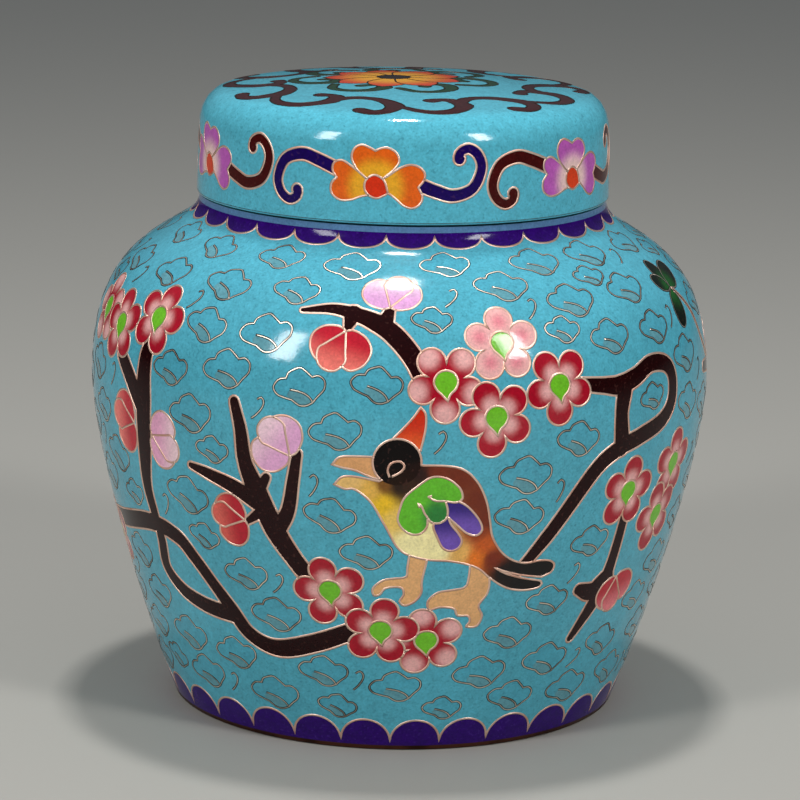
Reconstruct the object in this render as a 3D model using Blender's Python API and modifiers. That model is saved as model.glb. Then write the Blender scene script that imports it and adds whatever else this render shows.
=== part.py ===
# A covered ginger jar: a hollow turned body with a low foot ring, and a hollow cap lid that rests on it.
# Metres, +Z up. The origin is the middle of the foot's underside, and the jar's axis is Z.
import math

import bmesh
import bpy
from mathutils import Vector

# Body, outside
FOOT_RADIUS = 0.0433
BELLY_RADIUS = 0.0599
BELLY_HEIGHT = 0.0640
SEAT_HEIGHT = 0.0987
WALL = 0.0020

# How full the outline is between those sizes: each curve handle as a share of its curve's height or width
FOOT_LEAN = 0.42
FOOT_FULLNESS = 0.167
FLANK_FULLNESS = 0.244
BELLY_FULLNESS = 0.763
SHOULDER_FULLNESS = 0.42
SHOULDER_SLOPE = math.radians(38.0)
COLLAR_FILLET = 0.0050

# Foot
FOOT_EDGE = 0.0008
FOOT_RING_WIDTH = 0.0036
FOOT_RECESS = 0.0026
FLOOR_FILLET = 0.0050

# Lid, outside
LID_RADIUS = 0.0398
LID_TAPER = 0.00035
LID_SIDE = 0.01315
LID_CORNER_WIDTH = 0.0049
LID_CORNER_HEIGHT = 0.0068
LID_DOME = 0.0020
LID_WALL = 0.0022
LID_EDGE = 0.0004

# Neck, inside the lid, and how the lid fits over it
NECK_HEADROOM = 0.0015
NECK_WALL = 0.0018
NECK_EDGE = 0.0005
LID_PLAY = 0.0004
REST_GAP = 0.0003
LID_OVERHANG = 0.0005

# Fineness of the turned surfaces, and the curve handle that makes a quarter round
SEGMENTS = 56
WELD = 0.00001
QUARTER_ROUND = 0.55

# Worked out from the sizes above
LID_BORE = LID_RADIUS - LID_WALL
NECK_RADIUS = LID_BORE - LID_PLAY
NECK_BORE = NECK_RADIUS - NECK_WALL
SEAT_RADIUS = LID_RADIUS - LID_OVERHANG
FLOOR_TOP = FOOT_RECESS + WALL
LID_RIM = SEAT_HEIGHT + REST_GAP
LID_SIDE_TOP = LID_RIM + LID_SIDE
NECK_TOP = LID_SIDE_TOP - NECK_HEADROOM


def bezier(start, start_handle, end_handle, end, count):
    """Points along a cubic curve through the profile plane, both ends included."""
    corners = [Vector(p) for p in (start, start_handle, end_handle, end)]
    points = []
    for i in range(count + 1):
        t = i / count
        weights = ((1 - t) ** 3, 3 * t * (1 - t) ** 2, 3 * t * t * (1 - t), t ** 3)
        points.append(sum((w * c for w, c in zip(weights, corners)), Vector((0.0, 0.0))))
    return points


def arc(centre, radius, start, end, count):
    """Points along an arc in the profile plane, angles in degrees, both ends included."""
    points = []
    for i in range(count + 1):
        angle = math.radians(start + (end - start) * i / count)
        points.append(Vector((centre[0] + radius * math.cos(angle), centre[1] + radius * math.sin(angle))))
    return points


def offset_inward(points, distance):
    """The same line moved towards the axis side. The points run downwards on an outer surface."""
    moved = []
    for i, point in enumerate(points):
        before = points[max(i - 1, 0)]
        after = points[min(i + 1, len(points) - 1)]
        along = (after - before).normalized()
        moved.append(point + distance * Vector((along.y, -along.x)))
    return moved


def body_outline():
    """The body's outer line from the seat down to the foot, as its collar, its shoulder and its flank."""
    collar_turn = COLLAR_FILLET * (1 - math.sin(SHOULDER_SLOPE))
    collar_drop = COLLAR_FILLET * math.cos(SHOULDER_SLOPE)
    shoulder = Vector((SEAT_RADIUS + collar_turn, SEAT_HEIGHT - collar_drop))
    down_slope = Vector((math.cos(SHOULDER_SLOPE), -math.sin(SHOULDER_SLOPE)))
    belly = Vector((BELLY_RADIUS, BELLY_HEIGHT))
    foot = Vector((FOOT_RADIUS, 0.0))
    collar_end = 270 - math.degrees(SHOULDER_SLOPE)
    collar = arc((SEAT_RADIUS + COLLAR_FILLET, SEAT_HEIGHT), COLLAR_FILLET, 180, collar_end, 4)
    shoulder_handle = shoulder + SHOULDER_FULLNESS * (belly.x - shoulder.x) * down_slope
    belly_handle = belly + Vector((0, BELLY_FULLNESS * (shoulder.y - belly.y)))
    above = bezier(shoulder, shoulder_handle, belly_handle, belly, 10)
    flank_handle = belly - Vector((0, FLANK_FULLNESS * belly.y))
    foot_handle = foot + FOOT_FULLNESS * belly.y * Vector((FOOT_LEAN, 1))
    below = bezier(belly, flank_handle, foot_handle, foot, 9)
    return collar, above, below


def body_inside(above, below):
    """The inner line from the floor's middle up to the neck's bore. It keeps the wall's thickness."""
    wall = offset_inward(above + below[1:], WALL)
    corner_height = FLOOR_TOP + FLOOR_FILLET
    upper = [p for p in wall if p.y > corner_height]
    lower = next(p for p in wall if p.y <= corner_height)
    share = (upper[-1].y - corner_height) / (upper[-1].y - lower.y)
    wall_foot = upper[-1].lerp(lower, share)
    corner_centre = (wall_foot.x - FLOOR_FILLET, corner_height)
    floor_corner = arc(corner_centre, FLOOR_FILLET, -90, 0, 3)
    rise = (upper[0].x - NECK_BORE) * math.tan(SHOULDER_SLOPE)
    neck_foot = Vector((NECK_BORE, min(upper[0].y + rise, SEAT_HEIGHT)))
    climb = [p for p in reversed(upper[::2]) if p.y > corner_height + FLOOR_FILLET / 2]
    return [Vector((0, FLOOR_TOP))] + floor_corner + climb + [neck_foot]


def rounded_rim(outer, inner, height, edge, side):
    """A wall's end with both edges rounded: side 1 is a top rim run outwards, -1 a bottom rim run inwards."""
    centre_height = height - side * edge
    inner_centre = (inner + edge, centre_height)
    outer_centre = (outer - edge, centre_height)
    if side > 0:
        return arc(inner_centre, edge, 180, 90, 2) + arc(outer_centre, edge, 90, 0, 2)
    return arc(outer_centre, edge, 0, -90, 2) + arc(inner_centre, edge, -90, -180, 2)


def body_profile():
    """The body's whole section, from the floor's middle up the inside, over the rim and down the outside."""
    collar, above, below = body_outline()
    rim = rounded_rim(NECK_RADIUS, NECK_BORE, NECK_TOP, NECK_EDGE, 1)
    seat = [Vector((NECK_RADIUS, SEAT_HEIGHT))]
    ring_inside = FOOT_RADIUS - FOOT_RING_WIDTH
    flank = [p for p in collar + above[1:] + below[1:] if p.y > FOOT_EDGE * 1.5]
    foot = rounded_rim(FOOT_RADIUS + FOOT_LEAN * FOOT_EDGE, ring_inside, 0.0, FOOT_EDGE, -1)
    underside = [Vector((ring_inside, FOOT_RECESS)), Vector((0, FOOT_RECESS))]
    return body_inside(above, below) + rim + seat + flank + foot + underside


def lid_profile():
    """The lid's section, from the middle of its top down the outside, under the rim and up the inside."""
    side_radius = LID_RADIUS - LID_TAPER
    crown_radius = side_radius - LID_CORNER_WIDTH
    crown_height = LID_SIDE_TOP + LID_CORNER_HEIGHT
    dome_sphere = (crown_radius ** 2 + LID_DOME ** 2) / (2 * LID_DOME)
    dome_edge = math.degrees(math.asin(crown_radius / dome_sphere))
    dome = arc((0, crown_height + LID_DOME - dome_sphere), dome_sphere, 90, 90 - dome_edge, 5)
    corner_start = Vector((crown_radius, crown_height))
    dome_end_slope = Vector((1, -math.tan(math.radians(dome_edge))))
    handle_in = corner_start + QUARTER_ROUND * LID_CORNER_WIDTH * dome_end_slope
    handle_out = Vector((side_radius, LID_SIDE_TOP + QUARTER_ROUND * LID_CORNER_HEIGHT))
    corner = bezier(corner_start, handle_in, handle_out, (side_radius, LID_SIDE_TOP), 6)
    crown = dome + corner[1:]
    rim = rounded_rim(LID_RADIUS, LID_BORE, LID_RIM, LID_EDGE, -1)
    ceiling = [p for p in offset_inward(crown, LID_WALL) if p.x < LID_BORE - LID_EDGE]
    ceiling[0].x = 0
    return crown + rim + [Vector((LID_BORE, LID_SIDE_TOP))] + list(reversed(ceiling))


def enamel(name, colour, roughness):
    material = bpy.data.materials.new(name)
    material.use_nodes = True
    shader = material.node_tree.nodes["Principled BSDF"]
    shader.inputs["Base Color"].default_value = (*colour, 1)
    shader.inputs["Roughness"].default_value = roughness
    shader.inputs["Metallic"].default_value = 0.0
    material.diffuse_color = (*colour, 1)
    return material


def turned(name, profile, material, collection):
    """A solid of revolution about Z from a section whose ends lie on the axis."""
    mesh = bpy.data.meshes.new(name)
    section = bmesh.new()
    corners = [section.verts.new((p.x, 0, p.y)) for p in profile]
    for first, second in zip(corners, corners[1:]):
        section.edges.new((first, second))
    section.to_mesh(mesh)
    section.free()
    mesh.materials.append(material)
    piece = bpy.data.objects.new(name, mesh)
    collection.objects.link(piece)
    screw = piece.modifiers.new("turn", "SCREW")
    screw.axis = "Z"
    screw.angle = math.tau
    screw.steps = SEGMENTS
    screw.render_steps = SEGMENTS
    screw.use_merge_vertices = True
    screw.merge_threshold = WELD
    screw.use_smooth_shade = True
    return piece


def main():
    for old in list(bpy.data.objects):
        bpy.data.objects.remove(old)
    parts = bpy.data.collections.new("ginger_jar")
    bpy.context.scene.collection.children.link(parts)
    jar_enamel = enamel("jar_enamel", (0.09, 0.47, 0.60), 0.12)
    lid_enamel = enamel("lid_enamel", (0.10, 0.46, 0.56), 0.12)
    turned("jar", body_profile(), jar_enamel, parts)
    turned("lid", lid_profile(), lid_enamel, parts)


main()
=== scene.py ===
import math

import bmesh
import bpy
import numpy as np
from mathutils import Matrix, Vector
from mathutils.geometry import delaunay_2d_cdt
from mathutils.kdtree import KDTree


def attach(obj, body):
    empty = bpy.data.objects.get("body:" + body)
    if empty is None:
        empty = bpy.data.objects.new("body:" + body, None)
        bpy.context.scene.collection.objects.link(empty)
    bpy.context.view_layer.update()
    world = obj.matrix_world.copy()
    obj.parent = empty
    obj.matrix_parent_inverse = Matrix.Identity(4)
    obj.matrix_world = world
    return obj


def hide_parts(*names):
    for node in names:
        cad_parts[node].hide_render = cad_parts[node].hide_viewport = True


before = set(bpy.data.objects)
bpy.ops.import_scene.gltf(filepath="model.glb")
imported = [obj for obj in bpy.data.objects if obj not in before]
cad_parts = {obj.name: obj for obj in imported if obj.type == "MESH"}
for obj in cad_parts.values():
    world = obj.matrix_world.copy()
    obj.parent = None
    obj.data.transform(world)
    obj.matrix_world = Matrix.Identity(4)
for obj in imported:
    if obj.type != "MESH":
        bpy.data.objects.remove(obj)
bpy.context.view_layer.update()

# A ginger jar in cloisonné: copper wires bent to the drawing, bedded in fired enamel and polished smooth.
# The drawing is laid out in millimetres. An azimuth is in degrees from the front, positive to the right, and
# "up" is the distance up the piece's outline from its lower edge.
MM = 0.001
NEAR = 0.002
WELD = 1e-6
SHARP_EDGE = math.radians(30)

# Fineness: along a piece's outline, along drawn lines, between the points of plain and of shaded ground, and
# how many points go round. The pole sample is the outline's point that gives the flat map's scale there.
OUTLINE_STEP = 0.1
STEP = 0.45
GROUND_GRID = 2.0
GRADIENT_GRID = 0.75
RING_POINTS = 168
POLE_SAMPLE = -20
ROUND_END_POINTS = 7
CUT_TOLERANCE = 1e-5

# Wires: their widths, and how far they stand proud of the enamel
MOTIF_WIRE = 0.40
CLOUD_WIRE = 0.32
VINE_WIRE = 0.30
WIRE_PROUD = 0.035
SHORTEST_WIRE_STEP = 0.16
MITRE_LIMIT = 0.6

# Each wire's section: its crown and its base as shares of its width, and how deep the base lies. The thin
# wires' sloping sides show dark, oxidised and with painted shade beside each wire.
WIRE_SECTIONS = {MOTIF_WIRE: (1.0, 1.0, 0.12), CLOUD_WIRE: (0.62, 2.1, 0.03), VINE_WIRE: (1.0, 1.0, 0.12)}
FLANK, CROWN = 0, 1

# Enamel colours, as they look on a screen
TURQUOISE = (80, 168, 188)
CLOUD_BLUE = (76, 163, 184)
CLOUD_GREY = (94, 152, 164)
INDIGO = (44, 4, 102)
# Painted shade and a painted reflection of the lid: the grey-blue of a band round the collar under the lid's
# rim
COLLAR_SHADE_AND_REFLECTION = (86, 124, 164)
BRANCH = (32, 4, 5)
CRIMSON = (168, 16, 38)
PALE_PINK = (234, 176, 172)
LEAF_GREEN = (18, 84, 30)
LEAF_TIP = (8, 20, 12)
CENTRE_GREEN = (112, 190, 42)
BUD_RED = (186, 28, 46)
CORAL = (240, 124, 112)
LILAC = (222, 164, 212)
ROSE = (228, 134, 146)
SCROLL_MAROON = (66, 10, 10)
VINE_MAROON = (54, 4, 8)
VINE_GREEN = (12, 56, 30)
SCROLL_NAVY = (26, 6, 82)
# Painted light: the lid's ground is a lighter turquoise than the jar's, for the light that falls on the lid
# from above
LIT_LID_TURQUOISE = (84, 176, 196)
LINING = (76, 164, 184)


def linear(colour):
    """A screen colour (0 to 255) as linear light."""
    share = np.array(colour, float) / 255
    return np.where(share <= 0.04045, share / 12.92, ((share + 0.055) / 1.055) ** 2.4)


# The turned surfaces, and flat maps of them

def section(node):
    """A CAD node's half section in mm, as (radius, height) in order, starting from its higher end."""
    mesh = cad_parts[node].data
    place = {}
    for vertex in mesh.vertices:
        x, y, z = vertex.co / MM
        if x > -NEAR and abs(y) < NEAR:
            place[vertex.index] = (round(abs(x), 3), round(z, 3))
    links = {}
    for edge in mesh.edges:
        first, second = (place.get(i) for i in edge.vertices)
        if first and second and first != second:
            links.setdefault(first, set()).add(second)
            links.setdefault(second, set()).add(first)
    ends = [point for point in links if len(links[point]) == 1]
    line = [max(ends, key=lambda point: point[1])]
    while True:
        onward = [point for point in links[line[-1]] if point not in line[-2:]]
        if not onward:
            return np.array(line)
        line.append(onward[0])


def spline(points, spacing):
    """A smooth curve (natural cubic spline) through the points, at an even spacing."""
    t = np.r_[0, np.cumsum(np.hypot(*np.diff(points, axis=0).T))]
    h = np.diff(t)
    n = len(t)
    system = np.eye(n)
    right = np.zeros((n, 2))
    for i in range(1, n - 1):
        system[i, i - 1:i + 2] = h[i - 1], 2 * (h[i - 1] + h[i]), h[i]
        right[i] = 6 * ((points[i + 1] - points[i]) / h[i] - (points[i] - points[i - 1]) / h[i - 1])
    bend = np.linalg.solve(system, right)
    u = np.linspace(0, t[-1], int(t[-1] / spacing) + 1)
    i = np.clip(np.searchsorted(t, u) - 1, 0, n - 2)
    a = ((t[i + 1] - u) / h[i])[:, None]
    b = 1 - a
    span = (h[i] ** 2 / 6)[:, None]
    return a * points[i] + b * points[i + 1] + ((a ** 3 - a) * bend[i] + (b ** 3 - b) * bend[i + 1]) * span


class Sheet:
    """A turned surface and its flat map in complex numbers, which keeps small shapes undistorted."""

    def __init__(self, outline):
        line = spline(outline, OUTLINE_STEP)
        steps = np.hypot(*np.diff(line, axis=0).T)
        self.up = np.r_[0, np.cumsum(steps)]
        self.radius, self.height = line.T
        self.closed = self.radius[-1] < NEAR
        middle = (self.radius[1:] + self.radius[:-1]) / 2
        self.spread = self.radius[0] * np.exp(-np.r_[0, np.cumsum(steps / middle)])
        self.pole_scale = self.spread[POLE_SAMPLE] / max(self.radius[POLE_SAMPLE], NEAR)
        if self.closed:
            self.spread[-1] = 0
        self.slope = np.gradient(line, self.up, axis=0)
        self.top = self.up[-1]

    def radius_at(self, up):
        return np.interp(up, self.up, self.radius)

    def map(self, azimuth, up):
        """Places (radians, mm) to map points."""
        return np.interp(up, self.up, self.spread) * np.exp(1j * (np.asarray(azimuth) - math.pi / 2))

    def unmap(self, points):
        """Map points to places (radians, mm)."""
        up = np.interp(-np.abs(points), -self.spread, self.up)
        return np.angle(points * 1j), up

    def solid(self, points):
        """Map points to positions in metres and outward normals."""
        azimuth, up = self.unmap(points)
        out = np.stack([np.sin(azimuth), -np.cos(azimuth), np.zeros(len(azimuth))], 1)
        radius = self.radius_at(up)[:, None]
        height = np.interp(up, self.up, self.height)[:, None]
        rise = np.interp(up, self.up, self.slope[:, 1])[:, None]
        run = np.interp(up, self.up, self.slope[:, 0])[:, None]
        axis = np.array([[0, 0, 1.0]])
        normal = out * rise - axis * run
        normal /= np.linalg.norm(normal, axis=1)[:, None]
        return (out * radius + axis * height) * MM, normal

    def ring(self, up):
        return self.map(np.arange(RING_POINTS) * math.tau / RING_POINTS, up)


class Spot:
    """A place on a sheet where a motif is drawn in its own millimetres, turned and scaled."""

    def __init__(self, sheet, azimuth, up, turn=0.0, size=1.0):
        self.sheet = sheet
        self.azimuth = math.radians(azimuth)
        self.up = up
        self.spin = size * np.exp(1j * math.radians(turn))

    def map(self, points):
        points = np.asarray(points, complex) * self.spin
        if self.up >= self.sheet.top:
            return points * self.sheet.pole_scale
        up = self.up + points.imag
        return self.sheet.map(self.azimuth + points.real / self.sheet.radius_at(up), up)

    def local(self, points):
        if self.up >= self.sheet.top:
            points = points / self.sheet.pole_scale
        else:
            azimuth, up = self.sheet.unmap(points)
            turn = (azimuth - self.azimuth + math.pi) % math.tau - math.pi
            points = turn * self.sheet.radius_at(up) + 1j * (up - self.up)
        return points / self.spin


# Lines and outlines, in a motif's own millimetres

def pairs(points):
    return np.array([complex(x, y) for x, y in points])


def through(points):
    """A smooth line through the points (Catmull-Rom), sampled at about STEP."""
    p = pairs(points)
    p = np.r_[2 * p[0] - p[1], p, 2 * p[-1] - p[-2]]
    line = []
    for a, b, c, d in zip(p, p[1:], p[2:], p[3:]):
        t = np.arange(0, 1, 1 / max(1, round(abs(c - b) / STEP)))
        curve = (c - a) * t + (2 * a - 5 * b + 4 * c - d) * t ** 2 + (3 * b - a - 3 * c + d) * t ** 3
        line.extend(b + curve / 2)
    line.append(p[-2])
    return np.array(line)


def runs(first, *others):
    """A closed outline of smooth runs with a corner between them. Each run goes on from the end of the one
    before it, the last one returns to the first point, and an empty run is a straight line."""
    lines = [first]
    for line in others:
        lines.append(lines[-1][-1:] + line)
    lines[-1] = lines[-1] + first[:1]
    return np.concatenate([through(line)[:-1] for line in lines])


def arc(start, end, bulge):
    """A circular arc between two points that bulges to its right by that much, without its last point."""
    chord = abs(end - start)
    half_turn = 2 * math.atan2(2 * bulge, chord)
    if abs(half_turn) < 0.01:
        return np.linspace(start, end, max(2, round(chord / STEP)), endpoint=False)
    centre = (start + end) / 2 + 1j * (end - start) / 2 / math.tan(half_turn)
    length = chord / 2 / abs(math.sin(half_turn)) * 2 * abs(half_turn)
    turn = np.linspace(0, 2 * half_turn, max(3, round(length / STEP)), endpoint=False)
    return centre + (start - centre) * np.exp(1j * turn)


def lobes(corners, bulges):
    """A closed outline of arcs between corners that run anticlockwise."""
    return np.concatenate([arc(*ends) for ends in zip(corners, np.roll(corners, -1), bulges)])


def drop(length, width):
    """A teardrop with its point at the origin and its round end down."""
    radius = width / 2
    side = 0.45 * length
    low = -length + 0.26 * radius
    half = [(0.72 * radius, -side), (radius, radius - length), (0.68 * radius, low)]
    return runs([(0, 0)] + [(-x, y) for x, y in half] + [(0, -length)] + half[::-1])


def disc(x, y, radius):
    turn = np.linspace(0, math.tau, max(8, round(math.tau * radius / STEP)), endpoint=False)
    return complex(x, y) + radius * (np.cos(turn) + 1j * np.sin(turn))


def stroke(points, widths):
    """The outline of a brush stroke through the points, as wide as said at each of them, with round ends."""
    line = through(points)
    place = np.r_[0, np.cumsum(np.abs(np.diff(pairs(points))))]
    along = np.r_[0, np.cumsum(np.abs(np.diff(line)))]
    width = np.interp(along / along[-1], place / place[-1], widths) / 2
    heading = np.gradient(line)
    heading /= np.abs(heading)
    right = line - 1j * heading * width
    left = line + 1j * heading * width
    turn = np.linspace(-math.pi / 2, math.pi / 2, ROUND_END_POINTS)[1:-1]
    end = line[-1] + heading[-1] * width[-1] * np.exp(1j * turn)
    start = line[0] - heading[0] * width[0] * np.exp(1j * turn)
    return np.concatenate([right, end, left[::-1], start])


def inside(points, outline):
    """Which points lie in a closed outline: a level ray from them crosses it an odd number of times."""
    start = outline[:, None]
    side = np.roll(outline, -1)[:, None] - start
    crosses = (start.imag > points.imag) != ((start + side).imag > points.imag)
    share = (points.imag - start.imag) / np.where(side.imag == 0, 1, side.imag)
    return (crosses & (start.real + share * side.real > points.real)).sum(0) % 2 == 1


# Ways to colour a cell, from a point in the motif's own millimetres

def plain(colour):
    return lambda points: np.tile(linear(colour), (len(points), 1))


def blend(first, second, share):
    share = np.clip(share, 0, 1)[:, None]
    share = share * share * (3 - 2 * share)
    return linear(first) * (1 - share) + linear(second) * share


def outwards(inner, outer, start, end):
    return lambda points: blend(inner, outer, (np.abs(points) - start) / (end - start))


def downwards(upper, lower, start, end):
    return lambda points: blend(upper, lower, (points.imag - start) / (end - start))


def spots(*places):
    """Each point takes most of its colour from the nearest of the given places."""
    centres = pairs([(x, y) for x, y, colour in places])
    colours = np.array([linear(colour) for x, y, colour in places])

    def paint(points):
        weights = 1 / (np.abs(points[:, None] - centres[None]) ** 4 + 0.01)
        return weights @ colours / weights.sum(1)[:, None]
    return paint


# The drawing: cells of enamel one over another, and open wires in them

class Cell:
    def __init__(self, spot, outline, paint, enamel, group, wire):
        self.spot = spot
        self.outline = outline
        self.paint = paint
        self.enamel = enamel
        self.group = group
        self.wire = wire


class Drawing:
    """All cells and open wires on one sheet. A later cell lies over an earlier one."""

    def __init__(self, sheet):
        self.sheet = sheet
        self.lines = []
        self.grids = []
        bare = Cell(Spot(sheet, 0, 0), sheet.ring(0.0), plain(TURQUOISE), "metal", "bare", MOTIF_WIRE)
        self.cells = [bare]

    def cell(self, spot, outline, paint, enamel="picture", group=None, wire=MOTIF_WIRE, shaded=False):
        """Adds a cell. Cells of one group have no wire between them."""
        points = spot.map(outline)
        self.cells.append(Cell(spot, points, paint, enamel, group or len(self.cells), wire))
        if shaded:
            low = min(outline.real) + 1j * min(outline.imag)
            wide, tall = np.ptp(outline.real), np.ptp(outline.imag)
            x, y = np.meshgrid(np.arange(0, wide, GRADIENT_GRID), np.arange(0, tall, GRADIENT_GRID))
            grid = (low + x + 1j * y).ravel()
            self.grids.append(spot.map(grid[inside(grid, outline)]))

    def band(self, places, paint, enamel, group):
        """A cell that reaches all round and up from a closed line of places."""
        points = self.sheet.map(*places)
        self.cells.append(Cell(Spot(self.sheet, 0, 0), points, paint, enamel, group, MOTIF_WIRE))

    def line(self, spot, points, wire=MOTIF_WIRE):
        """Adds an open wire in the cell that was added last."""
        self.lines.append((spot.map(points), self.cells[-1].group, wire))

    def taken(self):
        """Points all over the motifs, in mm in space, for finding free ground."""
        points = [cell.outline for cell in self.cells] + self.grids + [line for line, group,
                                                                       wire in self.lines]
        solid = self.sheet.solid(np.concatenate(points))[0] / MM
        tree = KDTree(len(solid))
        for i, point in enumerate(solid):
            tree.insert(point, i)
        tree.balance()
        return tree


def ground_grid(sheet):
    """Staggered points all over a sheet, so that it stays smooth between the motifs."""
    points = []
    for row in range(1, int(sheet.top / GROUND_GRID)):
        up = row * GROUND_GRID
        count = max(6, round(math.tau * sheet.radius_at(up) / GROUND_GRID))
        turn = (np.arange(count) + row % 2 / 2) * math.tau / count
        points.append(sheet.map(turn, np.full(count, up)))
    return np.concatenate(points)


def anticlockwise(outline):
    area = (outline.conjugate() * np.roll(outline, -1)).imag.sum()
    return outline if area > 0 else outline[::-1]


def divide(drawing):
    """Cuts the sheet into triangles along all outlines: points, triangles, their cells, wires by width."""
    sheet = drawing.sheet
    cells = drawing.cells
    points = []

    def add(line):
        points.extend(Vector((p.real, p.imag)) for p in line)
        return list(range(len(points) - len(line), len(points)))

    faces = [add(anticlockwise(cell.outline)) for cell in cells]
    if not sheet.closed:
        faces.append(add(sheet.ring(sheet.top)))
    edges = []
    open_wires = []
    for line, group, wire in drawing.lines:
        ids = add(line)
        edges.extend(zip(ids, ids[1:]))
        open_wires.extend([(group, wire)] * (len(ids) - 1))
    for grid in [ground_grid(sheet)] + drawing.grids:
        add(grid)
    flat, flat_edges, triangles, _, edge_from, face_from = delaunay_2d_cdt(points, edges, faces, 0,
                                                                           CUT_TOLERANCE)
    kept = [i for i, sources in enumerate(face_from) if 0 in sources and len(cells) not in sources]
    triangles = [list(triangles[i]) for i in kept]
    tops = [max(face_from[i]) for i in kept]
    beside = {}
    for triangle, top in zip(triangles, tops):
        for a, b in zip(triangle, triangle[1:] + triangle[:1]):
            beside.setdefault((min(a, b), max(a, b)), []).append(top)
    used = np.unique(triangles)
    renumbered = np.zeros(len(flat), int)
    renumbered[used] = np.arange(len(used))
    wires = {}
    for edge, sources in zip(flat_edges, edge_from):
        tops_beside = beside.get((min(edge), max(edge)), [])
        if len(tops_beside) < 2:
            continue
        here = tuple(renumbered[list(edge)])
        groups = {cells[top].group for top in tops_beside}
        if len(groups) > 1:
            wires.setdefault(cells[max(tops_beside)].wire, []).append(here)
            continue
        own = [open_wires[i] for i in sources if i < len(open_wires)]
        for wire in [wire for group, wire in own if group in groups][:1]:
            wires.setdefault(wire, []).append(here)
    flat = np.array([complex(*flat[i]) for i in used])
    return flat, renumbered[np.array(triangles)], np.array(tops), wires


# Meshes

def chains(edges):
    """Joins edges to runs that end where wires meet or stop. A closed run starts and ends on one point."""
    links = {}
    for a, b in edges:
        links.setdefault(a, []).append(b)
        links.setdefault(b, []).append(a)
    left = {frozenset(edge) for edge in edges}
    starts = [p for p in links if len(links[p]) != 2] + list(links)
    found = []
    for start in starts:
        for onward in links[start]:
            if frozenset((start, onward)) not in left:
                continue
            run = [start, onward]
            left.discard(frozenset(run))
            while len(links[run[-1]]) == 2:
                ahead = [p for p in links[run[-1]] if frozenset((run[-1], p)) in left]
                if not ahead:
                    break
                left.discard(frozenset((run[-1], ahead[0])))
                run.append(ahead[0])
            found.append(run)
    return found


def thinned(line):
    """The same line without points that are closer together than the shortest step."""
    kept = [0]
    for i in range(1, len(line) - 1):
        far_back = np.linalg.norm(line[i] - line[kept[-1]]) >= SHORTEST_WIRE_STEP * MM
        if far_back and np.linalg.norm(line[i] - line[-1]) >= SHORTEST_WIRE_STEP * MM:
            kept.append(i)
    return kept + [len(line) - 1]


def wire_strip(line, normals, width, closed):
    """A closed bar of four sides along a line on the surface: its points, faces and each face's side."""
    ahead = np.roll(line, -1, 0) if closed else np.r_[line[1:], line[-1:]]
    back = np.roll(line, 1, 0) if closed else np.r_[line[:1], line[:-1]]
    into = line - back
    out = ahead - line
    if not closed:
        into[0] = out[0]
        out[-1] = into[-1]
    into /= np.linalg.norm(into, axis=1)[:, None]
    out /= np.linalg.norm(out, axis=1)[:, None]
    along = into + out
    length = np.linalg.norm(along, axis=1)[:, None]
    along /= np.maximum(length, 1e-6)
    side = np.cross(normals, along)
    half = width / 2 * MM / np.clip(length / 2, MITRE_LIMIT, 1)
    crown_share, base_share, depth = WIRE_SECTIONS[width]
    high = normals * WIRE_PROUD * MM
    low = -normals * depth * MM
    crown = side * half * crown_share
    base = side * half * base_share
    corners = np.stack([line + base + low, line + crown + high, line - crown + high, line - base + low], 1)
    count = len(line)
    faces = []
    sides = []
    for i in range(count if closed else count - 1):
        j = (i + 1) % count
        for k in range(4):
            m = (k + 1) % 4
            faces.append((4 * i + k, 4 * i + m, 4 * j + m, 4 * j + k))
            sides.append(k)
    if not closed:
        faces.append((3, 2, 1, 0))
        end = 4 * (count - 1)
        faces.append((end, end + 1, end + 2, end + 3))
        sides += [FLANK, FLANK]
    return corners.reshape(-1, 3), faces, sides


def wire_mesh(name, sheet, flat, edges, width, metals):
    """All wires of one width as closed bars bedded in the enamel."""
    points = []
    faces = []
    flanks = []
    for run in chains(edges):
        closed = run[0] == run[-1] and len(run) > 3
        line, normals = sheet.solid(flat[run[:-1] if closed else run])
        kept = thinned(line)
        if len(kept) < (4 if closed else 2):
            continue
        corners, quads, sides = wire_strip(line[kept], normals[kept], width, closed)
        faces.extend(tuple(i + len(points) for i in quad) for quad in quads)
        flanks.extend(side != CROWN and len(metals) > 1 for side in sides)
        points.extend(corners.tolist())
    mesh = bpy.data.meshes.new(name)
    mesh.from_pydata(points, [], faces)
    mesh.shade_smooth()
    for metal in metals:
        mesh.materials.append(metal)
    mesh.polygons.foreach_set("material_index", flanks)
    return add_piece(name, mesh)


def add_piece(name, mesh):
    piece = bpy.data.objects.new(name, mesh)
    bpy.context.scene.collection.objects.link(piece)
    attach(piece, "root")
    return piece


def plain_rest(line, kinds):
    """The undrawn rest of a turned section: its points, its faces and what each face is made of."""
    turn = np.arange(RING_POINTS) * math.tau / RING_POINTS
    points = []
    faces = []
    made_of = []
    rings = []
    for radius, height in line * MM:
        around = turn if radius > NEAR * MM else turn[:1]
        rings.append(range(len(points), len(points) + len(around)))
        points.extend((radius * math.sin(a), -radius * math.cos(a), height) for a in around)
    for ring, onward, kind in zip(rings, rings[1:], kinds):
        if len(ring) + len(onward) == 2:
            continue
        for i in range(RING_POINTS):
            j = (i + 1) % RING_POINTS
            corners = [line[i % len(line)] for line, i in ((ring, i), (onward, i), (onward, j), (ring, j))]
            faces.append(tuple(dict.fromkeys(corners)))
            made_of.append(kind)
    return points, faces, made_of


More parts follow.
